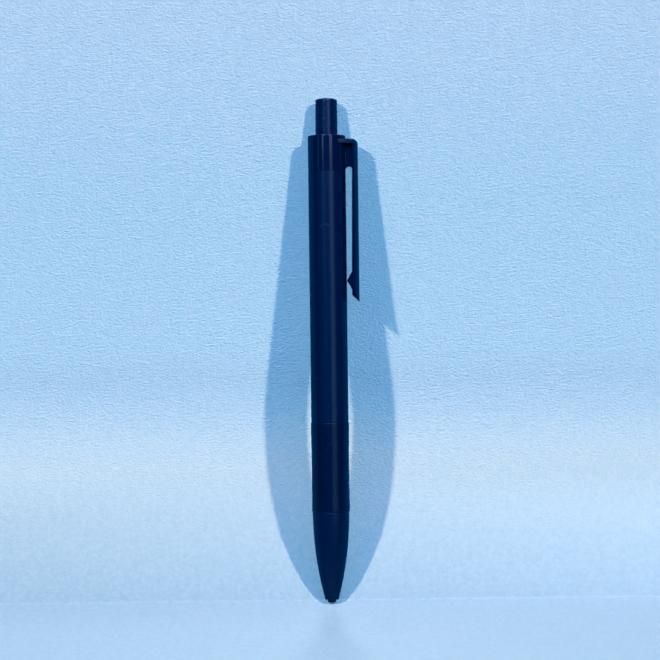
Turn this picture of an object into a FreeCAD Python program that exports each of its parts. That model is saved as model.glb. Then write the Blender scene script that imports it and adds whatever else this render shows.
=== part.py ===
import FreeCAD, Part
import math
import os

# Retractable ballpoint pen, modelled piece by piece in millimetres.
#
# Frame: the pen stands upright. +Z runs from the writing end to the push button, the origin is on the
# pen's axis at the nose's very end, and the clip is on the +X side. The pen is at rest: the point is
# drawn in and the button is out.
#
# Inside is the usual rotating-cam retraction: the button pushes a toothed plunger, the plunger pushes a
# ribbed index rotor down the channels of a cam sleeve, and the rotor pushes the refill against its spring.

V = FreeCAD.Vector
AXIS = V(0, 0, 1)

# ---------------------------------------------------------------- driving dimensions (mm)
PEN_LENGTH = 140.0
RUN = 0.02  # gap between two pieces that only touch
SLIDE = 0.05  # radial gap of a sliding fit

# outside levels, up the pen
NOSE_TOP = 25.3
GRIP_TOP = 49.95
HOLD_TOP = 78.0  # top of the plain cylinder that a pen holder grips
TAPER_TOP = 92.0
COLLAR_BOTTOM = 119.4
COLLAR_TOP = 129.5

# outside radii
NOSE_END_R = 2.0
NOSE_R = 5.07
GRIP_LOW_R = 5.26
GRIP_WAIST_R = 5.18
GRIP_HIGH_R = 5.33
HOLD_R = 5.18  # the moulding's draft widens it to the full radius higher up
BARREL_R = 5.22
BUTTON_LOW_R = 3.07
BUTTON_HIGH_R = 3.02
BUTTON_HOLE_R = 3.15

# travel
BUTTON_TRAVEL = 6.0
REFILL_SHARE = 0.9  # the refill moves this much for each unit of button travel

# cam geometry
CHANNELS = 4
STEP_DEG = 360.0 / CHANNELS / 2  # one index step, which is also one crown tooth
TOOTH_RISE = 2 * BUTTON_TRAVEL * (1 - REFILL_SHARE)  # half a step closes the difference in travel
CHANNEL_HALF_DEG = 15.0
SPLINE_HALF_DEG = 14.0
RIB_DEG = 8.0
RIB_START_DEG = -13.5
CAM_CORE_R = 2.85  # rotor and plunger bodies
CAM_RIB_R = 3.45  # rotor ribs and plunger splines
CAM_LAND_R = 2.95
CAM_CHANNEL_R = 3.55
CAM_SLEEVE_R = 4.0
CROWN_BORE_R = 1.9
BARREL_BORE_R = 4.05
SHOULDER_R = 3.7  # the bore below the shoulder that carries the cam sleeve
SPIGOT_R = 4.15  # the barrel's neck inside the grip

# refill: a plastic one of the common 106.8 mm length
POINT_INSET = 1.2  # the ball's lowest point, above the nose's end
REFILL_LENGTH = 106.8
BALL_R = 0.5
TUBE_R = 1.6
TUBE_BORE_R = 1.1
REFILL_TOP = POINT_INSET + REFILL_LENGTH
RIB_TOP = REFILL_TOP + 4.0
SLEEVE_LOW = RIB_TOP - 4.6  # the ribs come out below this, late in the stroke
SLEEVE_TOP = 116.35
ROTOR_ROOT = RIB_TOP + 0.35
PLUNGER_TIP = ROTOR_ROOT + TOOTH_RISE / 2 + 0.05

# nose thread: right-handed, one start
THREAD_PITCH = 1.25
THREAD_LOW = 20.0
THREAD_HIGH = 25.0
THREAD_CORE_R = 3.25
THREAD_RIDGE = 0.34
THREAD_WALL_R = 3.68
RIDGE_ROOT = 0.5
RIDGE_CREST = 0.24

# nose bush
BUSH_LIP_R = 1.22
BUSH_NECK_R = 1.28
BUSH_BODY_R = 1.65
BUSH_FLANGE_R = 2.2
BUSH_SHOULDER = 2.35  # where the neck widens into the body
BUSH_FLANGE = 7.55

# clip
CLIP_TOP = 128.65
CLIP_OUT = 8.65  # outer face, from the pen's axis
CLIP_IN = 6.95  # inner face at the top
CLIP_IN_END = 6.62  # inner face from the gripping bump down
CLIP_CROWN = 1.05  # the outer face falls away this much to its long edges
CLIP_ROOT_X = 2.92  # the tongue's inner edge, from the pen's axis
CLIP_ROOT_HALF = 4.1
CLIP_HALF_TOP = 3.2
CLIP_HALF_END = 2.7
CLIP_BACK_HALF = 2.6  # half-width of the inner face
CLIP_SPLIT = 112.0
CLIP_BEND_R = 1.6
CLIP_BAR_UNDER = 127.15
CLIP_END = 83.4
WEB_BOTTOM = 120.15
WEB_HALF = 0.75
BUMP_TIP = 89.25
BUMP_HALF = 1.4


# ---------------------------------------------------------------- helpers
def face_of(points):
    """A flat face from a closed outline. A point is (x, z); an arc is (mid point, end point)."""
    edges = []
    start = V(points[0][0], 0, points[0][1])
    here = start
    for step in points[1:]:
        if isinstance(step[0], tuple):
            mid, end = (V(p[0], 0, p[1]) for p in step)
            edges.append(Part.Arc(here, mid, end).toShape())
        else:
            end = V(step[0], 0, step[1])
            edges.append(Part.makeLine(here, end))
        here = end
    if here.distanceToPoint(start) > 1e-6:
        edges.append(Part.makeLine(here, start))
    return Part.Face(Part.Wire(edges))


def turned(points):
    """A solid of revolution about the pen's axis, from its (radius, height) outline."""
    return face_of(points).revolve(V(0, 0, 0), AXIS, 360)


def rod(radius, low, high):
    return Part.makeCylinder(radius, high - low, V(0, 0, low))


def tube(outer, inner, low, high):
    return rod(outer, low, high).cut(rod(inner, low, high))


def box(x, y, z):
    """A box from its (low, high) pairs."""
    return Part.makeBox(x[1] - x[0], y[1] - y[0], z[1] - z[0], V(x[0], y[0], z[0]))


def turned_by(shape, degrees):
    copy = shape.copy()
    copy.rotate(V(0, 0, 0), AXIS, degrees)
    return copy


def around(shape, count):
    """Copies of a shape, evenly spaced about the pen's axis."""
    return [turned_by(shape, 360.0 / count * k) for k in range(count)]


def sector(inner, outer, low, high, from_deg, span_deg):
    """A piece of a ring between two angles."""
    outline = [(inner, low), (outer, low), (outer, high), (inner, high)]
    return turned_by(face_of(outline).revolve(V(0, 0, 0), AXIS, span_deg), from_deg)


def ramp(inner, outer, low, rise, height, from_deg, span_deg):
    """A ring piece whose lower and upper faces climb by rise over its span, like a spiral stair."""
    outline = [(inner, low), (outer, low), (outer, low + height), (inner, low + height)]
    profile = Part.Wire(face_of(outline).OuterWire)
    path_r = (inner + outer) / 2
    path = Part.makeHelix(rise * 360.0 / span_deg, rise, path_r)
    path.translate(V(0, 0, low))
    sweep = Part.BRepOffsetAPI.MakePipeShell(Part.Wire(path.Edges))
    sweep.setBiNormalMode(AXIS)
    sweep.add(profile)
    sweep.build()
    sweep.makeSolid()
    return turned_by(Part.Solid(sweep.shape()), from_deg)


def arc_between(start, end, bulge):
    """The middle and end of an arc from start to end that bows out by bulge to the right of its run."""
    dx, dz = end[0] - start[0], end[1] - start[1]
    length = math.hypot(dx, dz)
    mid = ((start[0] + end[0]) / 2 + bulge * dz / length, (start[1] + end[1]) / 2 - bulge * dx / length)
    return (mid, end)


def screw_ridge(core, crest, low):
    """One helical thread ridge up to the thread's top. core is the radius that it stands on."""
    inner = core - 0.05 if crest > core else core + 0.05
    outline = [
        V(inner, 0, low - RIDGE_ROOT / 2),
        V(crest, 0, low - RIDGE_CREST / 2),
        V(crest, 0, low + RIDGE_CREST / 2),
        V(inner, 0, low + RIDGE_ROOT / 2),
    ]
    path = Part.makeHelix(THREAD_PITCH, THREAD_HIGH - 0.4 - low, core)
    path.translate(V(0, 0, low))
    sweep = Part.BRepOffsetAPI.MakePipeShell(Part.Wire(path.Edges))
    sweep.setBiNormalMode(AXIS)
    sweep.add(Part.makePolygon(outline + outline[:1]))
    sweep.build()
    sweep.makeSolid()
    return Part.Solid(sweep.shape())


def joined(first, *others):
    """One solid from pieces that overlap, with leftover seams removed."""
    return first.multiFuse(list(others)).removeSplitter()


# ---------------------------------------------------------------- outer shell
def build_barrel_tube():
    """The long body: slim in the holding zone, a spigot under the grip, a thread for the nose."""
    bore = 2.5
    outline = [
        (bore, 17.6),
        (THREAD_CORE_R - 0.3, 17.6),
        (THREAD_CORE_R, 17.9),
        (THREAD_CORE_R, NOSE_TOP + RUN),
        (SPIGOT_R, NOSE_TOP + RUN),
        (SPIGOT_R, GRIP_TOP),
        (HOLD_R - 0.12, GRIP_TOP),
        (HOLD_R, GRIP_TOP + 0.12),
        (HOLD_R, HOLD_TOP),
        (BARREL_R, TAPER_TOP),
        (BARREL_R, COLLAR_BOTTOM - 0.06),
        (BARREL_R - 0.06, COLLAR_BOTTOM),
        (BARREL_BORE_R, COLLAR_BOTTOM),
        (BARREL_BORE_R, SLEEVE_LOW - RUN),
        (SHOULDER_R, SLEEVE_LOW - RUN),
        (SHOULDER_R, 48.0),
        (bore, 45.0),
    ]
    thread = screw_ridge(THREAD_CORE_R, THREAD_CORE_R + THREAD_RIDGE, THREAD_LOW)
    return joined(turned(outline), thread)


def build_grip_sleeve():
    low, high = NOSE_TOP + RUN, GRIP_TOP - RUN
    waist = (GRIP_WAIST_R, (low + high) / 2 - 1)
    outline = [
        (SPIGOT_R + RUN, low),
        (GRIP_LOW_R - 0.15, low),
        (GRIP_LOW_R, low + 0.15),
        (waist, (GRIP_HIGH_R, high - 0.15)),
        (GRIP_HIGH_R - 0.15, high),
        (SPIGOT_R + RUN, high),
    ]
    return turned(outline)


def build_nose_cone():
    """The tapered nose: a bush seat in its end, the spring's bore, then the thread."""
    ogive = arc_between((NOSE_END_R, 1.3), (NOSE_R, NOSE_TOP - 0.4), 0.76)
    bush_hole_r = BUSH_NECK_R + 2 * RUN
    body_hole_r = BUSH_BODY_R + 0.03
    spring_room_r = BUSH_FLANGE_R + 0.1
    outline = [
        (bush_hole_r, 0.83),
        (NOSE_END_R - 0.22, 0.86),
        ((NOSE_END_R - 0.06, 1.0), (NOSE_END_R, 1.3)),
        ogive,
        (NOSE_R - 0.1, NOSE_TOP),
        (THREAD_WALL_R, NOSE_TOP),
        (THREAD_WALL_R, 17.55),
        (spring_room_r, 17.55),
        (spring_room_r, BUSH_FLANGE),
        (body_hole_r, BUSH_FLANGE),
        (body_hole_r, BUSH_SHOULDER),
        (bush_hole_r, BUSH_SHOULDER),
    ]
    ridge = screw_ridge(THREAD_WALL_R, THREAD_CORE_R + 0.07, THREAD_LOW + THREAD_PITCH / 2)
    return joined(turned(outline), ridge)


def build_nose_bush():
    """The small guide bush whose rounded lip shows at the nose's end. The spring sits on it."""
    bore = 0.95
    outline = [
        (bore, 0.08),
        ((bore + 0.02, 0.02), (bore + 0.06, 0.0)),
        ((BUSH_LIP_R - 0.07, 0.12), (BUSH_LIP_R, 0.42)),
        (BUSH_NECK_R, 0.75),
        (BUSH_NECK_R, BUSH_SHOULDER + RUN),
        (BUSH_BODY_R, BUSH_SHOULDER + RUN),
        (BUSH_BODY_R, BUSH_FLANGE + RUN),
        (BUSH_FLANGE_R, BUSH_FLANGE + RUN),
        (BUSH_FLANGE_R, 8.6),
        (1.25, 8.6),
        (1.25, 2.2),
        (bore, 1.9),
    ]
    return turned(outline)


def build_top_collar():
    """The cap ring that holds the clip's root and guides the button."""
    outline = [
        (3.55, 116.4),
        (4.03, 116.4),
        (4.03, COLLAR_BOTTOM + RUN),
        (BARREL_R - 0.06, COLLAR_BOTTOM + RUN),
        (BARREL_R, COLLAR_BOTTOM + 0.08),
        (BARREL_R, COLLAR_TOP - 0.3),
        ((BARREL_R - 0.09, COLLAR_TOP - 0.09), (BARREL_R - 0.3, COLLAR_TOP)),
        (BUTTON_HOLE_R + 0.25, COLLAR_TOP),
        (BUTTON_HOLE_R, COLLAR_TOP - 0.25),
        (BUTTON_HOLE_R, 128.3),
        (3.55, 128.3),
    ]
    ring = turned(outline)
    half = CLIP_ROOT_HALF + 0.05
    slot = box((CLIP_ROOT_X - 0.05, 6.0), (-half, half), (CLIP_BAR_UNDER - 0.05, CLIP_TOP + 0.05))
    slot = slot.cut(rod(3.55, CLIP_BAR_UNDER - 1, CLIP_TOP + 1))
    barb_room = sector(3.5, 4.3, CLIP_BAR_UNDER - 0.45, CLIP_BAR_UNDER, -50, 100)
    return ring.cut(slot).cut(barb_room).removeSplitter()


# ---------------------------------------------------------------- clip
def clip_section(back, back_half):
    """The clip's section looking down the pen: flat towards the barrel, crowned outside.

    A section that starts inside the collar narrows steadily from there to the arm's width."""
    side = CLIP_OUT - CLIP_CROWN
    corners = [V(back, -back_half, 0), V(side - 0.3, -CLIP_HALF_TOP, 0), V(side, -CLIP_HALF_TOP, 0)]
    if back < BARREL_R:
        corners[1:1] = [V(back + 0.2, -back_half, 0), V(CLIP_IN, -CLIP_HALF_TOP, 0)]
    mirrored = [V(p.x, -p.y, 0) for p in reversed(corners)]
    lower = Part.makePolygon(corners)
    crown = Part.Arc(corners[-1], V(CLIP_OUT, 0, 0), mirrored[0]).toShape()
    upper = Part.makePolygon(mirrored + corners[:1])
    return Part.Face(Part.Wire(lower.Edges + [crown] + upper.Edges))


def clip_outline():
    """The clip seen from outside: it narrows towards a rounded lower end."""
    top, end, corner = CLIP_HALF_TOP + 0.01, CLIP_HALF_END, 1.3
    points = [V(0, -top, CLIP_TOP), V(0, -end, CLIP_END + corner)]
    bottom = [V(0, -end + corner, CLIP_END), V(0, end - corner, CLIP_END)]
    lift = corner * (1 - math.sqrt(0.5))
    left = Part.Arc(points[1], V(0, -end + lift, CLIP_END + lift), bottom[0]).toShape()
    right = Part.Arc(bottom[1], V(0, end - lift, CLIP_END + lift), V(0, end, CLIP_END + corner)).toShape()
    sides = [Part.makeLine(points[0], points[1]), left, Part.makeLine(*bottom), right]
    sides += [Part.makeLine(V(0, end, CLIP_END + corner), V(0, top, CLIP_TOP))]
    sides += [Part.makeLine(V(0, top, CLIP_TOP), V(0, -top, CLIP_TOP))]
    return Part.Face(Part.Wire(sides))


def side_plate(points, half):
    """A plate of the given half-width from its (x, z) side outline."""
    plate = face_of(points).extrude(V(0, 2 * half, 0))
    plate.translate(V(0, -half, 0))
    return plate


def build_clip():
    """The clip as it is moulded, in one piece: tongue, bar, web, arm and gripping bump."""
    shoulder = CLIP_BEND_R * (1 - math.sqrt(0.5))
    bend = ((CLIP_OUT - shoulder, CLIP_TOP - shoulder), (CLIP_OUT - CLIP_BEND_R, CLIP_TOP))
    arm_side = [
        (CLIP_IN, CLIP_TOP),
        (CLIP_IN, WEB_BOTTOM),
        (CLIP_IN_END, BUMP_TIP + 3),
        (CLIP_IN_END, CLIP_END + 1.9),
        (CLIP_OUT, CLIP_END),
        (CLIP_OUT, CLIP_TOP - CLIP_BEND_R),
        bend,
    ]
    arm_section = clip_section(CLIP_IN_END, CLIP_BACK_HALF)
    arm = side_plate(arm_side, 5).common(arm_section.extrude(V(0, 0, 200)))
    arm = arm.common(clip_outline().extrude(V(20, 0, 0)))

    bar = side_plate(
        [
            (CLIP_ROOT_X, CLIP_TOP),
            (CLIP_ROOT_X, CLIP_BAR_UNDER),
            (CLIP_IN - 0.8, CLIP_BAR_UNDER),
            ((CLIP_IN - 0.2, CLIP_BAR_UNDER - 0.2), (CLIP_IN, CLIP_BAR_UNDER - 0.8)),
            (CLIP_OUT, CLIP_BAR_UNDER - 0.8),
            (CLIP_OUT, CLIP_TOP - CLIP_BEND_R),
            bend,
        ],
        5,
    )
    bar = bar.common(clip_section(CLIP_ROOT_X, CLIP_ROOT_HALF).extrude(V(0, 0, 200)))
    bar = bar.cut(rod(3.6, 120, 135))
    barb = sector(3.6, 4.25, CLIP_BAR_UNDER - 0.35, CLIP_BAR_UNDER + 0.3, -33, 66)

    inner = BARREL_R + 0.04
    web = side_plate(
        [
            (inner, CLIP_BAR_UNDER + 0.3),
            (inner, WEB_BOTTOM),
            ((inner + 0.95, WEB_BOTTOM + 0.75), (CLIP_IN + 0.1, WEB_BOTTOM)),
            (CLIP_IN + 0.1, CLIP_BAR_UNDER + 0.3),
        ],
        WEB_HALF,
    )
    tip_x = BARREL_R + 0.14
    bump = side_plate(
        [
            (CLIP_IN_END + 0.3, BUMP_TIP + 3),
            (CLIP_IN_END, BUMP_TIP + 2.6),
            (tip_x, BUMP_TIP + 0.3),
            ((tip_x - 0.1, BUMP_TIP), (tip_x, BUMP_TIP - 0.3)),
            arc_between((tip_x, BUMP_TIP - 0.3), (CLIP_IN_END, BUMP_TIP - 2.65), -0.1),
            (CLIP_IN_END + 0.3, BUMP_TIP - 3),
        ],
        BUMP_HALF,
    )
    return joined(arm, bar, barb, web, bump)


def build_clip_root():
    """The stiff upper part of the clip."""
    return build_clip().common(box((0, 12), (-6, 6), (CLIP_SPLIT, 135)))


def build_clip_arm():
    """The part of the clip that bends away from the barrel."""
    return build_clip().common(box((0, 12), (-6, 6), (80, CLIP_SPLIT - RUN)))


# ---------------------------------------------------------------- retraction mechanism
def build_push_button():
    edge_r, edge_z = BUTTON_HIGH_R - 0.3, PEN_LENGTH - 0.42
    dome_r = (edge_r**2 + (PEN_LENGTH - edge_z) ** 2) / (2 * (PEN_LENGTH - edge_z))
    half_way = math.asin(edge_r / dome_r) / 2
    dome_mid = (dome_r * math.sin(half_way), PEN_LENGTH - dome_r * (1 - math.cos(half_way)))
    outline = [
        (1.87, 127.0),
        (3.38, 127.0),
        (3.38, 128.2),
        (BUTTON_LOW_R, 128.25),
        (BUTTON_LOW_R, COLLAR_TOP),
        (BUTTON_HIGH_R, PEN_LENGTH - 0.75),
        ((BUTTON_HIGH_R - 0.09, edge_z - 0.11), (edge_r, edge_z)),
        (dome_mid, (0, PEN_LENGTH)),
        (0, 137.5),
        (1.87, 137.5),
    ]
    return turned(outline)


def crown_cutters(low, height, start_deg):
    """Eight wedges that leave saw teeth on a ring: each climbs for one index step, then drops."""
    cutter = ramp(CROWN_BORE_R - 0.3, CAM_CORE_R + 0.3, low, TOOTH_RISE, height, start_deg, STEP_DEG)
    return around(cutter, 2 * CHANNELS)


def cut_each(shape, cutters):
    for cutter in cutters:
        shape = shape.cut(cutter)
    return shape


def build_cam_plunger():
    """The button's stem, four guide splines, and a crown of saw teeth facing the rotor."""
    outline = [
        (CROWN_BORE_R, PLUNGER_TIP),
        (CAM_CORE_R, PLUNGER_TIP),
        (CAM_CORE_R, 119.0),
        (2.6, 119.25),
        (2.6, 126.98),
        (1.85, 126.98),
        (1.85, 135.8),
        (1.65, 136.0),
        (0, 136.0),
        (0, PLUNGER_TIP + 2.6),
        (CROWN_BORE_R, PLUNGER_TIP + 2.6),
    ]
    body = cut_each(turned(outline), crown_cutters(PLUNGER_TIP - 3.0, 3.0, 0))
    half, width = SPLINE_HALF_DEG, 2 * SPLINE_HALF_DEG
    crown_root = PLUNGER_TIP + TOOTH_RISE + 0.1
    spline = sector(CAM_CORE_R - 0.4, CAM_RIB_R, crown_root, SLEEVE_TOP - 0.85, -half, width)
    finger = sector(CAM_CORE_R + 0.03, CAM_RIB_R, RIB_TOP + 0.8, SLEEVE_TOP - 1.0, -half, width)
    return joined(body, *around(joined(spline, finger), CHANNELS))


def build_index_rotor():
    """The ribbed rotor: it turns one step per click and caps the refill's upper end."""
    low = REFILL_TOP - 2.5
    outline = [
        (TUBE_R + SLIDE, low),
        (2.3, low),
        (2.3, REFILL_TOP),
        (CAM_CORE_R - 0.3, REFILL_TOP + RUN),
        (CAM_CORE_R, REFILL_TOP + 0.32),
        (CAM_CORE_R, ROTOR_ROOT + TOOTH_RISE),
        (CROWN_BORE_R, ROTOR_ROOT + TOOTH_RISE),
        (CROWN_BORE_R, ROTOR_ROOT - 0.8),
        (0, ROTOR_ROOT - 0.8),
        (0, REFILL_TOP + SLIDE),
        (TUBE_R + SLIDE, REFILL_TOP + SLIDE),
    ]
    flank_gap = 0.6
    body = cut_each(turned(outline), crown_cutters(ROTOR_ROOT, 3.0, -STEP_DEG / 2 - flank_gap))
    rib_slope = 0.3
    rib = ramp(CAM_CORE_R - 0.4, CAM_RIB_R, RIB_TOP - 2.5, rib_slope, 2.5 - rib_slope, RIB_START_DEG, RIB_DEG)
    return joined(body, *around(rib, CHANNELS))


def build_cam_sleeve():
    """The fixed guide: four channels, and latching saw teeth along its lower edge."""
    body = tube(CAM_SLEEVE_R, CAM_LAND_R, SLEEVE_LOW, SLEEVE_TOP)
    half = CHANNEL_HALF_DEG
    inner, outer = CAM_LAND_R - 0.2, CAM_CHANNEL_R
    latch_deg = 41.0
    next_channel = 90.0 - half
    channel = sector(inner, outer, SLEEVE_LOW - 1, SLEEVE_TOP - 0.8, -half, 2 * half)
    first = ramp(inner, outer, SLEEVE_LOW - 3, 0.9, 3, half, latch_deg - half)
    second = ramp(inner, outer, SLEEVE_LOW - 3, 1.2, 3, latch_deg, next_channel - latch_deg)
    body = cut_each(body, around(channel, CHANNELS) + around(first, CHANNELS) + around(second, CHANNELS))
    return body.removeSplitter()


# ---------------------------------------------------------------- refill and spring
BALL_Z = POINT_INSET + BALL_R
SOCKET_R = BALL_R + 0.015
ADAPTER_LOW = 14.0
SPRING_LOW = 8.6
SPRING_HIGH = 32.8
TUBE_LOW = 33.8
INK_LOW, INK_HIGH, GREASE_HIGH = 38.0, 95.0, 99.0


def build_writing_ball():
    return Part.makeSphere(BALL_R, V(0, 0, BALL_Z))


def build_tip_point():
    """The metal point: a crimped lip around the ball's socket, a slim neck, a thicker body."""
    lip_r = math.sqrt(SOCKET_R**2 - 0.25**2)
    feed_r = 0.3
    socket_top = BALL_Z + math.sqrt(SOCKET_R**2 - feed_r**2)
    outline = [
        (lip_r, BALL_Z - 0.25),
        (lip_r + 0.04, BALL_Z - 0.25),
        (0.64, BALL_Z + 0.12),
        (0.85, 3.2),
        (0.85, 9.0),
        (1.15, 9.2),
        (1.15, ADAPTER_LOW),
        (0.8, ADAPTER_LOW),
        (0.8, ADAPTER_LOW + 3.5),
        (0.5, ADAPTER_LOW + 3.5),
        (0.5, 3.4),
        (feed_r, 3.0),
        (feed_r, socket_top),
        ((SOCKET_R, BALL_Z), (lip_r, BALL_Z - 0.25)),
    ]
    return turned(outline)


def build_tip_adapter():
    """The plastic stem between the metal point and the ink tube; its flange takes the spring."""
    bore = 0.6
    outline = [
        (0.82, ADAPTER_LOW + RUN),
        (1.2, ADAPTER_LOW + RUN),
        (1.2, SPRING_HIGH),
        (2.0, SPRING_HIGH),
        (2.0, TUBE_LOW),
        (TUBE_BORE_R - RUN, TUBE_LOW),
        (TUBE_BORE_R - RUN, INK_LOW - 0.3),
        (TUBE_BORE_R - 0.3, INK_LOW),
        (bore, INK_LOW),
        (bore, ADAPTER_LOW + 3.7),
        (0.82, ADAPTER_LOW + 3.6),
    ]
    return turned(outline)


def build_ink_tube():
    outline = [
        (TUBE_BORE_R, TUBE_LOW + RUN),
        (TUBE_R, TUBE_LOW + RUN),
        (TUBE_R, REFILL_TOP - 0.1),
        (TUBE_R - 0.1, REFILL_TOP),
        (TUBE_BORE_R, REFILL_TOP),
    ]
    return turned(outline)


def build_ink_column():
    return rod(TUBE_BORE_R - RUN, INK_LOW + RUN, INK_HIGH)


def build_ink_follower():
    """The plug of clear grease that rides on the ink."""
    return rod(TUBE_BORE_R - RUN, INK_HIGH + RUN, GREASE_HIGH)


def build_tail_plug():
    """The vented plug in the tube's open end."""
    return tube(TUBE_BORE_R - RUN, 0.3, REFILL_TOP - 4.0, REFILL_TOP - 0.1)


def build_return_spring():
    """A compression spring with closed ends, swept along one smooth centre line."""
    coil_r, wire_r = 1.75, 0.2
    closed_turns, open_turns = 1.75, 10.0
    closed_pitch = 2 * wire_r + 0.03
    low, high = SPRING_LOW + RUN + wire_r, SPRING_HIGH - RUN - wire_r
    open_pitch = (high - low - 2 * closed_turns * closed_pitch) / open_turns
    total = 2 * closed_turns + open_turns
    per_turn = 16
    steps = int(total * per_turn)
    weights = []
    for k in range(steps):
        turn = (k + 0.5) * total / steps
        from_end = min(turn, total - turn)
        blend = min(max((from_end - closed_turns + 0.5) / 1.0, 0.0), 1.0)
        smooth = blend * blend * (3 - 2 * blend)
        weights.append(closed_pitch + (open_pitch - closed_pitch) * smooth)
    scale = (high - low) / sum(weights)
    z = low
    points = [V(coil_r, 0, z)]
    for k in range(steps):
        z += weights[k] * scale
        angle = 2 * math.pi * (k + 1) / per_turn
        points.append(V(coil_r * math.cos(angle), coil_r * math.sin(angle), z))
    centre_line = Part.BSplineCurve()
    centre_line.interpolate(points)
    path = Part.Wire(centre_line.toShape())
    circle = Part.Circle(points[0], centre_line.tangent(centre_line.FirstParameter)[0], wire_r)
    sweep = Part.BRepOffsetAPI.MakePipeShell(path)
    sweep.setBiNormalMode(AXIS)
    sweep.add(Part.Wire(circle.toShape()))
    sweep.build()
    sweep.makeSolid()
    return Part.Solid(sweep.shape())


# ---------------------------------------------------------------- output
NODES = {
    "barrel_tube": build_barrel_tube,
    "grip_sleeve": build_grip_sleeve,
    "nose_cone": build_nose_cone,
    "nose_bush": build_nose_bush,
    "top_collar": build_top_collar,
    "clip_root": build_clip_root,
    "clip_arm": build_clip_arm,
    "cam_sleeve": build_cam_sleeve,
    "push_button": build_push_button,
    "cam_plunger": build_cam_plunger,
    "index_rotor": build_index_rotor,
    "ink_tube": build_ink_tube,
    "tip_adapter": build_tip_adapter,
    "tip_point": build_tip_point,
    "writing_ball": build_writing_ball,
    "ink_column": build_ink_column,
    "ink_follower": build_ink_follower,
    "tail_plug": build_tail_plug,
    "return_spring": build_return_spring,
}


def single_solid(shape):
    """The one solid that a node is made of."""
    if len(shape.Solids) != 1:
        raise ValueError("expected one solid, found %d" % len(shape.Solids))
    return shape.Solids[0]


os.makedirs("parts", exist_ok=True)
for name, build in NODES.items():
    shape = single_solid(build())
    if not shape.isValid():
        raise ValueError(name + " is not a valid solid")
    shape.exportStep("parts/" + name + ".step")
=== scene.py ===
"""Looks for a retractable ballpoint pen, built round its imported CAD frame."""

import math

import bmesh
import bpy
from mathutils import Matrix, Vector


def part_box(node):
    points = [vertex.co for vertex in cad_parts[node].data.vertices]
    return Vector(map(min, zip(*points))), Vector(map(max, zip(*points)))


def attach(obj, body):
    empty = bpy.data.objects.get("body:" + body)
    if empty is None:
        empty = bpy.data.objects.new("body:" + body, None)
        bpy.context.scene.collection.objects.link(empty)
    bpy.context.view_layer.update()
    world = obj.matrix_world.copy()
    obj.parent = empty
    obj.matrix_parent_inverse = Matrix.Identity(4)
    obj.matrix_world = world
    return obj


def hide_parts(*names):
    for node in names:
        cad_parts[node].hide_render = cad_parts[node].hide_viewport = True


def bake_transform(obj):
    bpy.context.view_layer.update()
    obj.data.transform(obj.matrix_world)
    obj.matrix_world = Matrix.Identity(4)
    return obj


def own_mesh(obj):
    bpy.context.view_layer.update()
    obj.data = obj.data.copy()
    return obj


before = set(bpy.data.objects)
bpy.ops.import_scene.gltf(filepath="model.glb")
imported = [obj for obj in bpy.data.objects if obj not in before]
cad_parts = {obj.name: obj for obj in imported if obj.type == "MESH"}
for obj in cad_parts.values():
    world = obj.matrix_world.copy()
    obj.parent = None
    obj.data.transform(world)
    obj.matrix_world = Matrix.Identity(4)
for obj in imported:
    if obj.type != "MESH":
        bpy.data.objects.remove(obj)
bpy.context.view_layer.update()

MM = 0.001


# ------------------------------------------------------------------ where things are, from the frame
def span(node):
    """(low z, high z, radius) of a CAD node in millimetres."""
    low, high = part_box(node)
    return low.z / MM, high.z / MM, high.y / MM


barrel_low, barrel_high, barrel_r = span("barrel_tube")
grip_low, grip_high, grip_r = span("grip_sleeve")
nose_low, nose_high, nose_r = span("nose_cone")
bush_low, bush_high, bush_r = span("nose_bush")
collar_low, collar_high, collar_r = span("top_collar")
button_low, button_high, button_flange_r = span("push_button")
spring_low, spring_high, spring_r = span("return_spring")
_, point_high, point_r = span("tip_point")
ball_low, ball_high, ball_r = span("writing_ball")
clip_split, clip_top, _ = span("clip_root")
clip_end = span("clip_arm")[0]
clip_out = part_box("clip_arm")[1].x / MM
clip_half_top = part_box("clip_arm")[1].y / MM
clip_root_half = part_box("clip_root")[1].y / MM
bump_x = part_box("clip_arm")[0].x / MM
SPIGOT_LENGTH = 3.0
seam_z = collar_low + SPIGOT_LENGTH


# ------------------------------------------------------------------ mesh helpers
def finish_mesh(name, bm, body, material, smooth_deg=38):
    """A named object from a bmesh, in metres, riding on a body."""
    bmesh.ops.remove_doubles(bm, verts=bm.verts, dist=1e-4)
    bmesh.ops.recalc_face_normals(bm, faces=bm.faces)
    bmesh.ops.scale(bm, vec=Vector((MM, MM, MM)), verts=bm.verts)
    mesh = bpy.data.meshes.new(name)
    bm.to_mesh(mesh)
    bm.free()
    obj = bpy.data.objects.new(name, mesh)
    bpy.context.scene.collection.objects.link(obj)
    shade(obj, smooth_deg)
    mesh.materials.append(material)
    if body:
        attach(obj, body)
    return obj


def shade(obj, smooth_deg):
    """Smooth shading, with edges sharper than the given angle left crisp."""
    bm = bmesh.new()
    bm.from_mesh(obj.data)
    limit = math.radians(smooth_deg)
    for face in bm.faces:
        face.smooth = True
    for edge in bm.edges:
        edge.smooth = len(edge.link_faces) == 2 and edge.calc_face_angle(0) < limit
    bm.to_mesh(obj.data)
    bm.free()


def rounded(points, steps=5):
    """A closed outline with its corners rounded. A point is (r, z) or (r, z, corner radius)."""
    out = []
    count = len(points)
    for k, point in enumerate(points):
        here = Vector(point[:2])
        radius = point[2] if len(point) > 2 else 0
        if not radius:
            out.append(tuple(here))
            continue
        before = (Vector(points[k - 1][:2]) - here).normalized()
        after = (Vector(points[(k + 1) % count][:2]) - here).normalized()
        opening = before.angle(after)
        reach = radius / math.tan(opening / 2)
        centre = here + (before + after).normalized() * (radius / math.sin(opening / 2))
        start, end = here + before * reach - centre, here + after * reach - centre
        turn = start.angle_signed(end)
        for i in range(steps + 1):
            out.append(tuple(centre + Matrix.Rotation(-turn * i / steps, 2) @ start))
    return out


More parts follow.
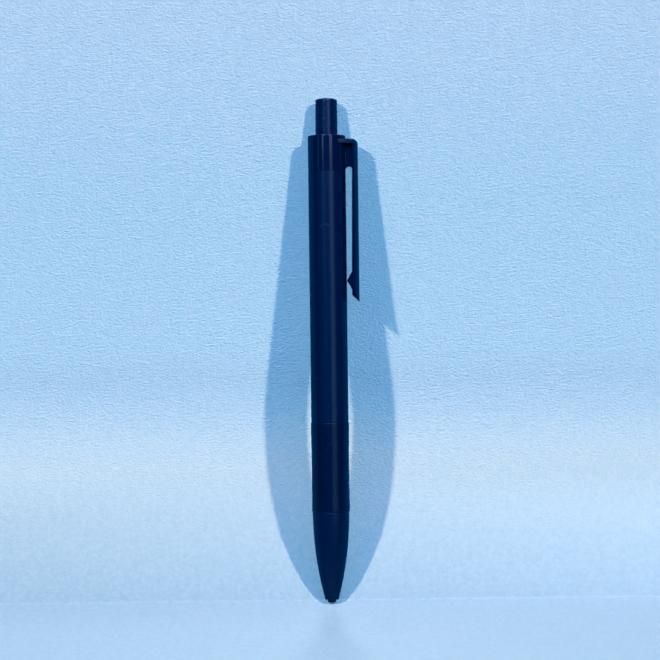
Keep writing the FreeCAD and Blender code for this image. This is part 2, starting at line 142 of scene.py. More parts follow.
def held(points, near=0.06):
    """The outline with an extra point near both ends of its longer straight runs.

    The extra points keep the shading flat along those runs."""
    out = []
    for k, point in enumerate(points):
        here, there = Vector(point), Vector(points[(k + 1) % len(points)])
        out.append(tuple(here))
        length = (there - here).length
        if length > 6 * near:
            step = (there - here).normalized() * near
            out.append(tuple(here + step))
            out.append(tuple(there - step))
    return out


def arc(start, end, bulge, count):
    """Points after start up to end on an arc that bows to the right of its run."""
    start, end = Vector(start), Vector(end)
    chord = end - start
    half = chord.length / 2
    radius = (half * half + bulge * bulge) / (2 * abs(bulge))
    right = Vector((chord.y, -chord.x)).normalized() * (1 if bulge > 0 else -1)
    centre = (start + end) / 2 - right * (radius - abs(bulge))
    turn = (start - centre).angle_signed(end - centre)
    turned = [Matrix.Rotation(-turn * k / count, 2) @ (start - centre) for k in range(1, count + 1)]
    return [tuple(centre + spoke) for spoke in turned]


def lathe(outline, segments=160, radius_at=None):
    """A bmesh turned about the pen's axis from a closed (r, z) outline in millimetres."""
    bm = bmesh.new()
    rings = []
    for r, z in outline:
        if r < 1e-6:
            rings.append([bm.verts.new((0, 0, z))])
            continue
        ring = []
        for k in range(segments):
            angle = 2 * math.pi * k / segments
            here = radius_at(r, z, angle) if radius_at else r
            ring.append(bm.verts.new((here * math.cos(angle), here * math.sin(angle), z)))
        rings.append(ring)
    for a, b in zip(rings, rings[1:] + rings[:1]):
        if len(a) == 1 and len(b) == 1:
            continue
        for k in range(segments):
            n = (k + 1) % segments
            corners = [a[k % len(a)], a[n % len(a)], b[n % len(b)], b[k % len(b)]]
            unique = []
            for v in corners:
                if v not in unique:
                    unique.append(v)
            bm.faces.new(unique)
    return bm


def thread(core, crest, low, high, pitch, offset=0.0):
    """A radius rule for one helical thread ridge between two levels."""

    def radius_at(r, z, angle):
        if abs(r - core) > 1e-4 or not low < z < high:
            return r
        phase = ((z - low - offset) / pitch - angle / (2 * math.pi)) % 1.0
        from_ridge = abs(phase - 0.5) * pitch
        height = min(max((0.25 - from_ridge) / 0.13, 0.0), 1.0)
        run_out = min((z - low) / 0.4, (high - z) / 0.4, 1.0)
        return r + (crest - core) * height * run_out

    return radius_at


def closed(bm):
    """The same mesh with its doubled points merged and its faces turned outwards."""
    bmesh.ops.remove_doubles(bm, verts=bm.verts, dist=1e-5)
    bmesh.ops.recalc_face_normals(bm, faces=bm.faces)
    return bm


def levels(low, high, step):
    """Evenly spaced values from low to high, about a step apart."""
    count = int(round((high - low) / step))
    return [low + (high - low) * k / count for k in range(count + 1)]


# ------------------------------------------------------------------ materials
class Nodes:
    """A small wrapper that keeps node set-up short."""

    def __init__(self, name):
        self.material = bpy.data.materials.new(name)
        self.material.use_nodes = True
        self.tree = self.material.node_tree
        self.shader = self.tree.nodes["Principled BSDF"]
        self.coords = self.add("ShaderNodeTexCoord").outputs["Object"]

    def add(self, kind, **settings):
        node = self.tree.nodes.new(kind)
        for key, value in settings.items():
            setattr(node, key, value)
        return node

    def link(self, source, target):
        self.tree.links.new(source, target)

    def set(self, **values):
        for key, value in values.items():
            self.shader.inputs[key.replace("_", " ")].default_value = value

    def noise(self, scale, detail=3.0, roughness=0.5, stretch=(1, 1, 1), distortion=0.0):
        mapping = self.add("ShaderNodeMapping")
        mapping.inputs["Scale"].default_value = stretch
        self.link(self.coords, mapping.inputs["Vector"])
        texture = self.add("ShaderNodeTexNoise")
        texture.inputs["Scale"].default_value = scale
        texture.inputs["Detail"].default_value = detail
        texture.inputs["Roughness"].default_value = roughness
        texture.inputs["Distortion"].default_value = distortion
        self.link(mapping.outputs["Vector"], texture.inputs["Vector"])
        return texture.outputs["Fac"]

    def remap(self, value, from_low, from_high, to_low, to_high):
        node = self.add("ShaderNodeMapRange")
        limits = {"From Min": from_low, "From Max": from_high, "To Min": to_low, "To Max": to_high}
        for key, number in limits.items():
            node.inputs[key].default_value = number
        self.link(value, node.inputs["Value"])
        return node.outputs["Result"]

    def math(self, operation, a, b):
        node = self.add("ShaderNodeMath", operation=operation)
        for index, value in enumerate((a, b)):
            if isinstance(value, (int, float)):
                node.inputs[index].default_value = value
            else:
                self.link(value, node.inputs[index])
        return node.outputs[0]

    def mix(self, factor, a, b):
        node = self.add("ShaderNodeMix", data_type="RGBA")
        for key, value in ((0, factor), (6, a), (7, b)):
            if isinstance(value, (int, float, tuple)):
                node.inputs[key].default_value = value
            else:
                self.link(value, node.inputs[key])
        return node.outputs[2]

    def bump(self, height, distance, strength=1.0, after=None):
        node = self.add("ShaderNodeBump")
        node.inputs["Strength"].default_value = strength
        node.inputs["Distance"].default_value = distance
        self.link(height, node.inputs["Height"])
        if after is not None:
            self.link(after, node.inputs["Normal"])
        return node.outputs["Normal"]


def rgb(r, g, b):
    return (r, g, b, 1.0)


def plastic(name, color, worn, rough, grain=0.0, grain_size=1800):
    """Moulded plastic: uneven tint, smudges, fine lengthways scratches and a faint moulding texture."""
    n = Nodes(name)
    cloud = n.noise(90, 4)
    smudge = n.noise(260, 5, 0.6, distortion=0.8)
    scratches = n.noise(2600, 2, 0.5, stretch=(1, 1, 0.02))
    fine = n.remap(scratches, 0.62, 0.72, 0.0, 1.0)
    wear = n.math("MULTIPLY", fine, n.remap(cloud, 0.4, 0.7, 0.0, 1.0))
    tint = n.mix(n.remap(cloud, 0.3, 0.7, 0.0, 1.0), rgb(*color), rgb(*[c * 1.12 for c in color]))
    n.link(n.mix(n.math("MULTIPLY", wear, 0.08), tint, rgb(*worn)), n.shader.inputs["Base Color"])
    base = n.remap(smudge, 0.3, 0.7, rough * 0.95, rough * 1.06)
    n.link(n.math("ADD", base, n.math("MULTIPLY", wear, 0.02)), n.shader.inputs["Roughness"])
    peel = n.bump(n.noise(420, 2), 0.000002)
    normal = n.bump(n.noise(grain_size, 4, 0.6), max(grain, 0.0000002), after=peel)
    n.link(normal, n.shader.inputs["Normal"])
    n.set(IOR=1.46)
    return n.material


def metal(name, color, dark, rough, stretch=(1, 1, 1), scale=900):
    """Machined metal: turning marks or drawing lines, with dull patches."""
    n = Nodes(name)
    marks = n.noise(scale, 3, 0.6, stretch=stretch)
    cloud = n.noise(700, 3)
    tint = n.mix(n.remap(cloud, 0.35, 0.75, 0.0, 0.6), rgb(*color), rgb(*dark))
    n.link(tint, n.shader.inputs["Base Color"])
    n.link(n.remap(marks, 0.3, 0.7, rough * 0.7, rough * 1.5), n.shader.inputs["Roughness"])
    n.link(n.bump(marks, 0.000004), n.shader.inputs["Normal"])
    n.set(Metallic=1.0)
    return n.material


def clear_plastic(name, color, rough, through):
    """Clear moulded plastic with faint lengthways streaks."""
    n = Nodes(name)
    cloud = n.noise(300, 3)
    n.link(n.mix(cloud, rgb(*color), rgb(*[c * 0.93 for c in color])), n.shader.inputs["Base Color"])
    streaks = n.noise(1500, 3, stretch=(1, 1, 0.05))
    n.link(n.remap(streaks, 0.3, 0.7, rough * 0.8, rough * 1.3), n.shader.inputs["Roughness"])
    n.link(n.bump(n.noise(900, 2), 0.000004), n.shader.inputs["Normal"])
    n.set(IOR=1.49, Transmission_Weight=through)
    return n.material


NAVY = (0.0003, 0.0053, 0.0385)
CLIP_NAVY = (0.0002, 0.0034, 0.0350)
GRIP_NAVY = (0.0002, 0.0032, 0.0280)
NOSE_NAVY = (0.0002, 0.0042, 0.0340)
NAVY_WORN = (0.012, 0.030, 0.085)
FINE_GRAIN = 0.0000006
SATIN_GRAIN = 0.000001
COARSE_GRAIN = 0.0000015
SATIN_SIZE = 2600
gloss_navy = plastic("gloss_navy_plastic", NAVY, NAVY_WORN, 0.26)
cap_navy = plastic("cap_navy_plastic", NAVY, NAVY_WORN, 0.08)
clip_navy = plastic("clip_navy_plastic", CLIP_NAVY, NAVY_WORN, 0.16)
button_navy = plastic("button_navy_plastic", NAVY, NAVY_WORN, 0.27, FINE_GRAIN)
grip_navy = plastic("grip_satin_plastic", GRIP_NAVY, NAVY_WORN, 0.28, SATIN_GRAIN, SATIN_SIZE)
nose_navy = plastic("nose_satin_plastic", NOSE_NAVY, NAVY_WORN, 0.35, COARSE_GRAIN, SATIN_SIZE)
bush_dark = plastic("bush_dark_plastic", (0.002, 0.006, 0.022), NAVY_WORN, 0.38, SATIN_GRAIN)
white_plastic = plastic("mechanism_white_plastic", (0.62, 0.63, 0.62), (0.5, 0.5, 0.48), 0.42, SATIN_GRAIN)
grey_plastic = plastic("mechanism_grey_plastic", (0.30, 0.31, 0.33), (0.22, 0.22, 0.22), 0.42, SATIN_GRAIN)
natural_plastic = plastic("refill_natural_plastic", (0.70, 0.69, 0.63), (0.55, 0.54, 0.5), 0.38, SATIN_GRAIN)
brass = metal("point_brass_nickel", (0.74, 0.66, 0.46), (0.42, 0.35, 0.22), 0.22, (0.1, 0.1, 6), 700)
steel = metal("spring_steel", (0.62, 0.62, 0.61), (0.35, 0.34, 0.32), 0.28, scale=2500)
polished = metal("ball_polished_metal", (0.55, 0.55, 0.57), (0.35, 0.35, 0.37), 0.12, scale=3000)
clear_tube = clear_plastic("refill_clear_tube", (0.90, 0.93, 0.94), 0.18, 0.85)
grease = clear_plastic("ink_follower_grease", (0.90, 0.86, 0.68), 0.12, 0.6)
ink = plastic("ink_blue_black", (0.002, 0.004, 0.04), (0.01, 0.02, 0.08), 0.1)


# ------------------------------------------------------------------ outer shell
# All lengths in the pieces are millimetres. A third number on an outline's point rounds that corner.
THREAD_PITCH = 1.25
SEAM = 0.02


def make_barrel():
    """The long body: spigot, nose thread, grip seat, slim holding zone, taper and bore."""
    core, crest = 3.25, 3.59
    thread_low, thread_high = 19.75, 24.85
    guide_r, bore_r, pocket_r, seat_r = 2.5, 3.7, 4.05, 4.15
    holding_r = barrel_r - 0.04
    taper_low, taper_high = 78.0, 92.0
    funnel_low, funnel_high, pocket_low = 45.0, 48.0, 107.4
    outline = [(guide_r, barrel_low), (core - 0.3, barrel_low), (core, barrel_low + 0.3)]
    outline += [(core, z) for z in levels(thread_low, thread_high, 0.065)]
    outline += [(core, grip_low - SEAM), (seat_r, grip_low - SEAM, 0.05), (seat_r, grip_high + SEAM)]
    outline += [(holding_r, grip_high + SEAM, 0.07), (holding_r, taper_low)]
    outline += [(barrel_r, taper_high), (barrel_r, barrel_high, 0.09)]
    outline += [(pocket_r, barrel_high), (pocket_r, pocket_low), (bore_r, pocket_low)]
    outline += [(bore_r, funnel_high), (guide_r, funnel_low)]
    ridge = thread(core, crest, thread_low, thread_high, THREAD_PITCH)
    bm = lathe(held(rounded(outline)), radius_at=ridge)
    obj = finish_mesh("barrel", bm, "barrel", gloss_navy)
    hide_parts("barrel_tube")


def make_grip():
    """A separate satin sleeve with a shallow waist and eased ends."""
    bore_r = 4.17
    low_r = grip_r - 0.07
    waist = -0.113
    side = arc((low_r, grip_low + 0.2), (grip_r, grip_high - 0.2), waist, 24)
    outline = [(bore_r, grip_low), (low_r - 0.02, grip_low, 0.12), (low_r, grip_low + 0.2)]
    outline += side + [(grip_r - 0.02, grip_high, 0.12), (bore_r, grip_high)]
    obj = finish_mesh("grip", lathe(rounded(outline)), "barrel", grip_navy)
    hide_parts("grip_sleeve")


def make_nose():
    """The tapered nose, open at its end for the bush and threaded inside its mouth."""
    wall, crest = 3.68, 3.32
    thread_low, thread_high = 20.4, 24.85
    end_r, bow = 2.0, 0.76
    hole_r, seat_r, bore_r = 1.33, 1.68, 2.3
    seat_low, seat_high, bore_high = 2.35, 7.55, 17.55
    side = arc((end_r, nose_low + 0.47), (nose_r, nose_high - 0.4), bow, 48)
    outline = [(hole_r, nose_low, 0.05), (end_r - 0.02, nose_low + 0.02, 0.2), (end_r, nose_low + 0.47)]
    outline += side + [(nose_r - 0.01, nose_high, 0.12), (wall, nose_high, 0.08)]
    outline += [(wall, z) for z in reversed(levels(thread_low, thread_high, 0.07))]
    outline += [(wall, bore_high), (bore_r, bore_high), (bore_r, seat_high), (seat_r, seat_high)]
    outline += [(seat_r, seat_low), (hole_r, seat_low)]
    ridge = thread(wall, crest, thread_low, thread_high, THREAD_PITCH)
    obj = finish_mesh("nose", lathe(rounded(outline), radius_at=ridge), "nose", nose_navy)
    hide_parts("nose_cone")


def make_bush():
    """The small dark bush at the nose's end, which guides the writing point."""
    bore_r, neck_r, body_r = 0.95, 1.28, 1.65
    body_low, flange_low = 2.37, 7.57
    outline = [(bore_r, bush_low, 0.05), (1.2, bush_low, 0.2), (1.22, 0.42), (neck_r, 0.75)]
    outline += [(neck_r, body_low), (body_r, body_low), (body_r, flange_low)]
    outline += [(bush_r, flange_low), (bush_r, bush_high, 0.06), (1.25, bush_high)]
    outline += [(1.25, 2.2), (bore_r, 1.9)]
    obj = finish_mesh("nose_end_bush", lathe(held(rounded(outline)), 96), "nose", bush_dark)
    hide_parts("nose_bush")


def make_collar():
    """The cap ring, with the window that the clip passes through."""
    bore_r, spigot_r, lip_r, lip_low = 3.55, 4.03, 3.15, 128.3
    outline = [(bore_r, collar_low), (spigot_r, collar_low), (spigot_r, seam_z + SEAM)]
    outline += [(collar_r, seam_z + SEAM, 0.09), (collar_r, collar_high, 0.28)]
    outline += [(lip_r, collar_high, 0.2), (lip_r, lip_low), (bore_r, lip_low)]
    ring = helper_object("cap_body", closed(lathe(held(rounded(outline)), 192)))
    combine(ring, [helper_object("window", window_cutter())], "DIFFERENCE")
    bm = bmesh.new()
    bm.from_mesh(ring.data)
    bpy.data.objects.remove(ring)
    obj = finish_mesh("cap_ring", bm, "barrel", cap_navy, 30)
    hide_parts("top_collar")


def window_cutter():
    """A block with a rounded inner side, which opens the ring's wall but leaves its inner lip.

    Its inner side lies just inside the ring's bore, so that the two never share a surface."""
    half, inner_x, inner_r, outer_x = clip_root_half + 0.05, 2.87, 3.54, 6.0
    outline = [(outer_x, -half), (outer_x, half), (inner_x, half)]
    for k in range(13):
        y = math.sqrt(inner_r**2 - inner_x**2) * (1 - k / 6)
        outline.append((math.sqrt(inner_r**2 - y * y), y))
    outline.append((inner_x, -half))
    bm = bmesh.new()
    face = bm.faces.new([bm.verts.new((x, y, clip_top - 1.55)) for x, y in outline])
    grown = bmesh.ops.extrude_face_region(bm, geom=[face])
    moved = [v for v in grown["geom"] if isinstance(v, bmesh.types.BMVert)]
    bmesh.ops.translate(bm, vec=(0, 0, 1.6), verts=moved)
    return closed(bm)


def make_button():
    """The push button: a flanged cup with a low dome on top."""
    low_r, high_r = 3.07, 3.02
    bore_r, bore_top = 1.87, 137.5
    dome_rise = 0.42
    flange_top = button_low + 1.2
    edge_z = button_high - dome_rise
    rim_r = high_r - 0.3
    dome_r = (rim_r**2 + dome_rise**2) / (2 * dome_rise)
    dome = []
    for k in range(13):
        r = rim_r * (1 - k / 12)
        dome.append((r, button_high - dome_r + math.sqrt(dome_r**2 - r * r)))
    outline = [(bore_r, button_low), (button_flange_r, button_low, 0.1), (button_flange_r, flange_top, 0.1)]
    outline += [(low_r, button_low + 1.25), (low_r, collar_high), (high_r, edge_z - 0.3)]
    outline += [(high_r - 0.035, edge_z - 0.16), (high_r - 0.12, edge_z - 0.06)] + dome
    outline += [(0, bore_top), (bore_r, bore_top)]
    bm = lathe(held(rounded(outline)), 128)
    obj = finish_mesh("push_button_cap", bm, "push_button", button_navy)
    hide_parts("push_button")


# ------------------------------------------------------------------ clip
ARM_TOP_THICK = 1.70
ARM_END_THICK = 2.03
ARM_HALF_END = 2.7
ARM_BACK_HALF = 2.6
ARM_CROWN = 1.05
END_CORNER = 1.3
BUMP_Z = 89.25
WEB_Z = 120.15
BEND_R = 1.6
BAR_THICK = 1.5
BAR_CROWN = 0.35
BAR_INNER_X = 2.95
BAR_ROUND_X = 5.15
BUTTON_CLEAR_R = 3.6


def back_at(z):
    """The arm's inner face leans towards the barrel on its way down."""
    share = min(max((WEB_Z - z) / (WEB_Z - BUMP_Z - 3), 0.0), 1.0)
    return clip_out - ARM_TOP_THICK - (ARM_END_THICK - ARM_TOP_THICK) * share


def section(half, back_half, thick, crown, arc_points=14):
    """One slice of the clip as (y, depth) points; depth 0 faces the barrel."""
    side = thick - crown
    easing = 0.16
    low = [(-back_half, 0.0, 0.2), (-half, max(side - 0.3, 0.12), 0.1), (-half, side, easing)]
    top = []
    for k in range(1, arc_points):
        y = half * (2 * k / arc_points - 1)
        top.append((y, side + crown * (1 - (y / half) ** 2)))
    high = [(half, side, easing), (half, max(side - 0.3, 0.12), 0.1), (back_half, 0.0, 0.2)]
    return rounded(low + top + high, 4)


def make_clip():
    """The clip is one moulding, so it is one piece here. Its shape curves round from its root into its arm.
    """
    rings = []

    def ring(inner, outer, half, back_half, crown, end_x=None):
        thick = (Vector(outer) - Vector(inner)).length
        points = []
        for y, depth in section(half, back_half, thick, crown):
            share = depth / thick
            x = inner[0] + (outer[0] - inner[0]) * share
            z = inner[1] + (outer[1] - inner[1]) * share
            if end_x is not None:
                stop_x, progress = end_x
                hollow_x = max(stop_x, math.sqrt(max(BUTTON_CLEAR_R**2 - y * y, 0.0)))
                x = hollow_x * progress + x * (1 - progress)
            points.append(Vector((x, y, z)))
        rings.append(points)

    def half_at(z):
        share = min(max((z - clip_end) / (clip_top - clip_end), 0), 1)
        return ARM_HALF_END + (clip_half_top - ARM_HALF_END) * share

    def bar_half(x):
        narrow_x, wide_x = 6.95, 3.12
        share = min(max((narrow_x - x) / (narrow_x - wide_x), 0), 1)
        return clip_half_top + (clip_root_half - clip_half_top) * share

    for k in range(9):
        rise = END_CORNER * (1 - math.cos(math.pi / 2 * k / 8))
        half = half_at(clip_end) - END_CORNER + math.sqrt(max(END_CORNER**2 - (END_CORNER - rise) ** 2, 0.0))
        inset = 0.07 if k == 0 else 0.0
        inner = (clip_out - ARM_END_THICK + inset, clip_end + 1.8 + rise * 0.7)
        crown = 0.98 * (half / ARM_HALF_END) ** 2
        ring(inner, (clip_out - inset, clip_end + rise), half - inset, half * 0.8 - inset, crown)
    top_z = clip_top - BEND_R
    for z in levels(clip_end + END_CORNER + 1.9, top_z - 0.6, 1.1):
        half = half_at(z)
        ring((back_at(z), z), (clip_out, z), half, ARM_BACK_HALF * half / clip_half_top, ARM_CROWN)
    back = back_at(clip_top)
    for k in range(11):
        turn = math.pi / 2 * k / 10
        inner = (back - 0.35 + 0.35 * math.cos(turn), top_z - 0.25 + 0.35 * math.sin(turn))
        outer = (clip_out - BEND_R + BEND_R * math.cos(turn), top_z + BEND_R * math.sin(turn))
        ring(inner, outer, half_at(clip_top), ARM_BACK_HALF + 0.59 * k / 10, ARM_CROWN - 0.7 * k / 10)
    underside = clip_top - BAR_THICK
    bar_start = clip_out - BEND_R - 0.1
    for k in range(1, 13):
        x = bar_start + (BAR_ROUND_X - bar_start) * k / 12
        half = bar_half(x)
        shift = 0.47 * (1 - k / 12)
        ring((x - shift, underside), (x, clip_top), half, half - 0.01, BAR_CROWN)
    for share in (0.5, 0.8, 0.92, 1.0):
        half = bar_half(BAR_ROUND_X + (BAR_INNER_X - BAR_ROUND_X) * share)
        inner, outer = (BAR_ROUND_X, underside), (BAR_ROUND_X, clip_top)
        ring(inner, outer, half, half - 0.01, BAR_CROWN, (BAR_INNER_X, share))

    bm = bmesh.new()
    loops = [[bm.verts.new(p) for p in points] for points in rings]
    for a, b in zip(loops, loops[1:]):
        for k in range(len(a)):
            n = (k + 1) % len(a)
            bm.faces.new((a[k], a[n], b[n], b[k]))
    bm.faces.new(list(reversed(loops[0])))
    bm.faces.new(loops[-1])
    bmesh.ops.recalc_face_normals(bm, faces=bm.faces)
    body = helper_object("clip_body", bm)

    web_x = collar_r + 0.01
    web_out, web_top, web_half = back + 0.25, clip_top - 1.2, 0.75
    web_low = arc((web_x, WEB_Z), (web_out, WEB_Z), -0.75, 12)
    web = plate([(web_x, web_top), (web_x, WEB_Z)] + web_low + [(web_out, web_top)], web_half)
    combine(body, [helper_object("clip_web", web), helper_object("clip_bump", bump_plate())], "UNION")

    bm = bmesh.new()
    bm.from_mesh(body.data)
    bpy.data.objects.remove(body)
    obj = finish_mesh("clip_moulding", bm, None, clip_navy, 32)
    normals = obj.modifiers.new("even_normals", "WEIGHTED_NORMAL")
    normals.keep_sharp = True
    bake_modifiers(obj)
    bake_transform(obj)
    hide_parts("clip_root", "clip_arm")


def bump_plate():
    """The gripping bump under the arm: a sloping lead-in above, a hollow curve below."""
    back = back_at(BUMP_Z)
    tip = bump_x
    half = 1.4
    side = [(back + 0.4, BUMP_Z + 3.0), (back, BUMP_Z + 2.6)]
    side += [(tip + 0.12, BUMP_Z + 0.35), (tip + 0.02, BUMP_Z + 0.15)]
    side += [(tip, BUMP_Z), (tip + 0.02, BUMP_Z - 0.15), (tip + 0.12, BUMP_Z - 0.35)]
    side += arc((tip + 0.12, BUMP_Z - 0.35), (back, BUMP_Z - 2.65), -0.12, 8)
    side += [(back + 0.4, BUMP_Z - 3.0)]
    return plate(side, half)


def plate(points, half):
    """A plate with eased edges from its (x, z) side outline."""
    bm = bmesh.new()
    face = bm.faces.new([bm.verts.new((x, -half, z)) for x, z in points])
    grown = bmesh.ops.extrude_face_region(bm, geom=[face])
    moved = [v for v in grown["geom"] if isinstance(v, bmesh.types.BMVert)]
    bmesh.ops.translate(bm, vec=(0, 2 * half, 0), verts=moved)
    bmesh.ops.recalc_face_normals(bm, faces=bm.faces)
    flat = [e for e in bm.edges if abs(e.verts[0].co.y - e.verts[1].co.y) < 1e-6]
    bmesh.ops.bevel(bm, geom=flat, offset=0.09, segments=2, affect="EDGES", profile=0.5)
    return bm


def helper_object(name, bm):
    """A plain object from a bmesh, kept in the bmesh's own unit."""
    mesh = bpy.data.meshes.new(name)
    bm.to_mesh(mesh)
    bm.free()
    obj = bpy.data.objects.new(name, mesh)
    bpy.context.scene.collection.objects.link(obj)
    return obj


def bake_modifiers(obj):
    """Makes an object's modified mesh its own mesh."""
    evaluated = obj.evaluated_get(bpy.context.evaluated_depsgraph_get())
    mesh = bpy.data.meshes.new_from_object(evaluated)
    obj.modifiers.clear()
    obj.data = mesh


def combine(obj, others, operation):
    """Joins or cuts an object with others, which are used up."""
    for other in others:
        modifier = obj.modifiers.new("combine", "BOOLEAN")
        modifier.operation = operation
        modifier.solver = "EXACT"
        modifier.object = other
    bake_modifiers(obj)
    for other in others:
        bpy.data.objects.remove(other)


def make_point():
    """The writing point: crimped lip, slim neck and body."""
    ball_z = (ball_low + ball_high) / 2
    socket = ball_r + 0.015
    crimp = 0.25
    lip = math.sqrt(socket**2 - crimp**2)
    feed_r, bore_r, stem_r, neck_r = 0.3, 0.5, 0.8, 0.85
    neck_low, neck_top, body_low, body_top = 3.2, 9.0, 9.2, 14.0
    socket_arc = []
    for k in range(1, 13):
        start = math.asin(-crimp / socket)
        angle = start + (math.acos(feed_r / socket) - start) * k / 12
        socket_arc.append((socket * math.cos(angle), ball_z + socket * math.sin(angle)))
    outline = [(lip, ball_z - crimp)] + socket_arc + [(feed_r, 3.0), (bore_r, 3.4)]
    outline += [(bore_r, point_high), (stem_r, point_high, 0.05), (stem_r, body_top)]
    outline += [(point_r, body_top, 0.05), (point_r, body_low, 0.08), (neck_r, neck_top)]
    outline += [(neck_r, neck_low, 0.3)]
    outline += [(0.64, ball_z + 0.12), (lip + 0.04, ball_z - crimp)]
    obj = finish_mesh("writing_point", lathe(rounded(outline), 96), "refill", brass)
    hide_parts("tip_point")


def make_ball():
    """The ball, in its socket at the point's end."""
    bm = bmesh.new()
    bmesh.ops.create_icosphere(bm, subdivisions=4, radius=ball_r)
    bmesh.ops.translate(bm, vec=(0, 0, (ball_low + ball_high) / 2), verts=bm.verts)
    obj = finish_mesh("ball", bm, "ball", polished, 80)
    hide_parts("writing_ball")


def make_spring():
    """A closed-end compression spring that shortens as the refill moves down."""
    wire, coil = 0.2, spring_r - 0.2
    end_turns, open_turns = 1.75, 10.0
    total = end_turns * 2 + open_turns
    per_turn, sides = 40, 12
    steps = int(total * per_turn)
    low, high = spring_low + wire, spring_high - wire
    flat_pitch = 2 * wire + 0.03
    open_pitch = (high - low - 2 * end_turns * flat_pitch) / open_turns
    rises = []
    for k in range(steps):
        turn = (k + 0.5) / per_turn
        share = min(max(min(turn, total - turn) - end_turns + 0.5, 0.0), 1.0)
        rises.append(flat_pitch + (open_pitch - flat_pitch) * share * share * (3 - 2 * share))
    scale = (high - low) / sum(rises)
    bm = bmesh.new()
    rings, z = [], low
    for k in range(steps + 1):
        angle = 2 * math.pi * k / per_turn
        out = Vector((math.cos(angle), math.sin(angle), 0))
        ring = []
        for s in range(sides):
            turn = 2 * math.pi * s / sides
            place = out * (coil + wire * math.cos(turn)) + Vector((0, 0, z + wire * math.sin(turn)))
            ring.append(bm.verts.new(place))
        rings.append(ring)
        if k < steps:
            z += rises[k] * scale
    for a, b in zip(rings, rings[1:]):
        for s in range(sides):
            n = (s + 1) % sides
            bm.faces.new((a[s], b[s], b[n], a[n]))
    bm.faces.new(rings[0])
    bm.faces.new(list(reversed(rings[-1])))
    obj = finish_mesh("return_coil_spring", bm, "spring", steel, 60)
    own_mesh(obj)
    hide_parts("return_spring")


make_barrel()
make_grip()
make_nose()
make_bush()
make_collar()
make_button()
make_clip()
make_point()
make_ball()
make_spring()

for node, material, slot in (
    ("cam_sleeve", white_plastic, "mechanism_plastic"),
    ("cam_plunger", grey_plastic, "mechanism_plastic"),
    ("index_rotor", natural_plastic, "rotor_plastic"),
    ("ink_tube", clear_tube, "tube_plastic"),
    ("tip_adapter", natural_plastic, "adapter_plastic"),
    ("tail_plug", natural_plastic, "adapter_plastic"),
    ("ink_column", ink, "ink"),
    ("ink_follower", grease, "grease"),
):
    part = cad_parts[node]
    part.data.materials.clear()
    part.data.materials.append(material)


# ------------------------------------------------------------------ stage
EYE_DISTANCE = 0.540
EYE_HEIGHT = 0.0756
VIEW_WIDTH = 0.1833
CARD_MIRRORED = (0.008, 0.15, 0.42)
FLOOR_MIRRORED = (0.004, 0.04, 0.08)
# The card's side profile as (depth, height) knots in millimetres, from the floor in front to the lean behind.
CARD_FLOOR = [(-400, -14.0), (-200, -12.5), (-100, -10.0), (-50, -7.2), (-25, -5.0), (-12, -3.1)]
CARD_FLOOR += [(-5, -1.85), (-1.5, -1.05)]
CARD_RISE = [(0.9, -0.3), (2.3, 0.35), (3.9, 2.1), (5.9, 4.9), (9.8, 11.2), (13.4, 17.2), (16.0, 22.8)]
CARD_RISE += [(18.0, 28.3), (19.4, 34.0), (20.3, 40.0), (20.8, 46.0), (20.7, 52.0), (19.9, 58.5)]
CARD_LEAN = 0.207


def view_share(depth, height):
    """How high a place in metres on the card shows: 0 is the view's bottom and 1 its top."""
    slope = (height - EYE_HEIGHT) / (EYE_DISTANCE + depth)
    return 0.5 + slope / VIEW_WIDTH * EYE_DISTANCE


# The card turns up from its floor at the second knot of its rise.
CREASE = view_share(*(Vector(CARD_RISE[1]) * MM))
# The card's painted light and shade, as (share of the view's height from the bottom, colour) stops: lighter
# and darker bands that stand in for how the light falls along the card.
FLOOR_TONES = [(0.01, (0.36, 0.59, 0.78)), (CREASE - 0.002, (0.38, 0.6, 0.79))]
# Above the crease the card faces the lights more, so painted shade there hides the crease.
FOOT_TONES = [(CREASE + 0.001, (0.29, 0.47, 0.63)), (0.12, (0.31, 0.49, 0.65))]
RISE_TONES = [(0.3, (0.42, 0.6, 0.73)), (0.4, (0.37, 0.61, 0.84)), (0.47, (0.37, 0.63, 0.88))]
LEAN_TONES = [(0.7, (0.33, 0.57, 0.81)), (1.0, (0.34, 0.54, 0.75))]
CARD_PAINTED_SHADING = FLOOR_TONES + FOOT_TONES + RISE_TONES + LEAN_TONES


def card_profile():
    """The card's side profile, smoothed through its knots."""
    last_y, last_z = CARD_RISE[-1]
    lean = [(last_y - CARD_LEAN * (z - last_z), z) for z in range(66, 420, 12)]
    knots = [Vector((y, z)) for y, z in CARD_FLOOR + CARD_RISE + lean]
    smooth = []
    for a, b, c, d in zip(knots[:1] + knots, knots, knots[1:], knots[2:] + knots[-1:]):
        leave, arrive = (c - a) / 2, (d - b) / 2
        for k in range(8):
            t = k / 8
            place = b * (2 * t**3 - 3 * t**2 + 1) + leave * (t**3 - 2 * t**2 + t)
            smooth.append(place + c * (3 * t**2 - 2 * t**3) + arrive * (t**3 - t**2))
    return smooth


def make_backdrop():
    """Pale textured card: it leans back behind the pen and curves forward under it into a floor."""
    bm = bmesh.new()
    columns = (-450, -150, 150, 450)
    rows = [[bm.verts.new((x * MM, p.x * MM, p.y * MM)) for x in columns] for p in card_profile()]
    for a, b in zip(rows, rows[1:]):
        for k in range(3):
            bm.faces.new((a[k], a[k + 1], b[k + 1], b[k]))
    for face in bm.faces:
        face.smooth = True
    obj = helper_object("backdrop", bm)
    rise = obj.data.attributes.new("rise", "FLOAT", "POINT")
    for vertex, value in zip(obj.data.vertices, rise.data):
        value.value = view_share(vertex.co.y, vertex.co.z)
    # Painted side light: in a band low in the view, the card's tone is scaled lighter towards the right and
    # darker towards the left.
    tilt = obj.data.attributes.new("tilt", "FLOAT", "POINT")
    for vertex, value, level in zip(obj.data.vertices, tilt.data, rise.data):
        share = min(max((0.28 - level.value) / 0.06, 0.0), max((level.value - 0.04) / 0.06, 0.0), 1.0)
        value.value = 1 + 0.9 * vertex.co.x * share
    obj.data.materials.append(backdrop_material())
    obj.visible_diffuse = False


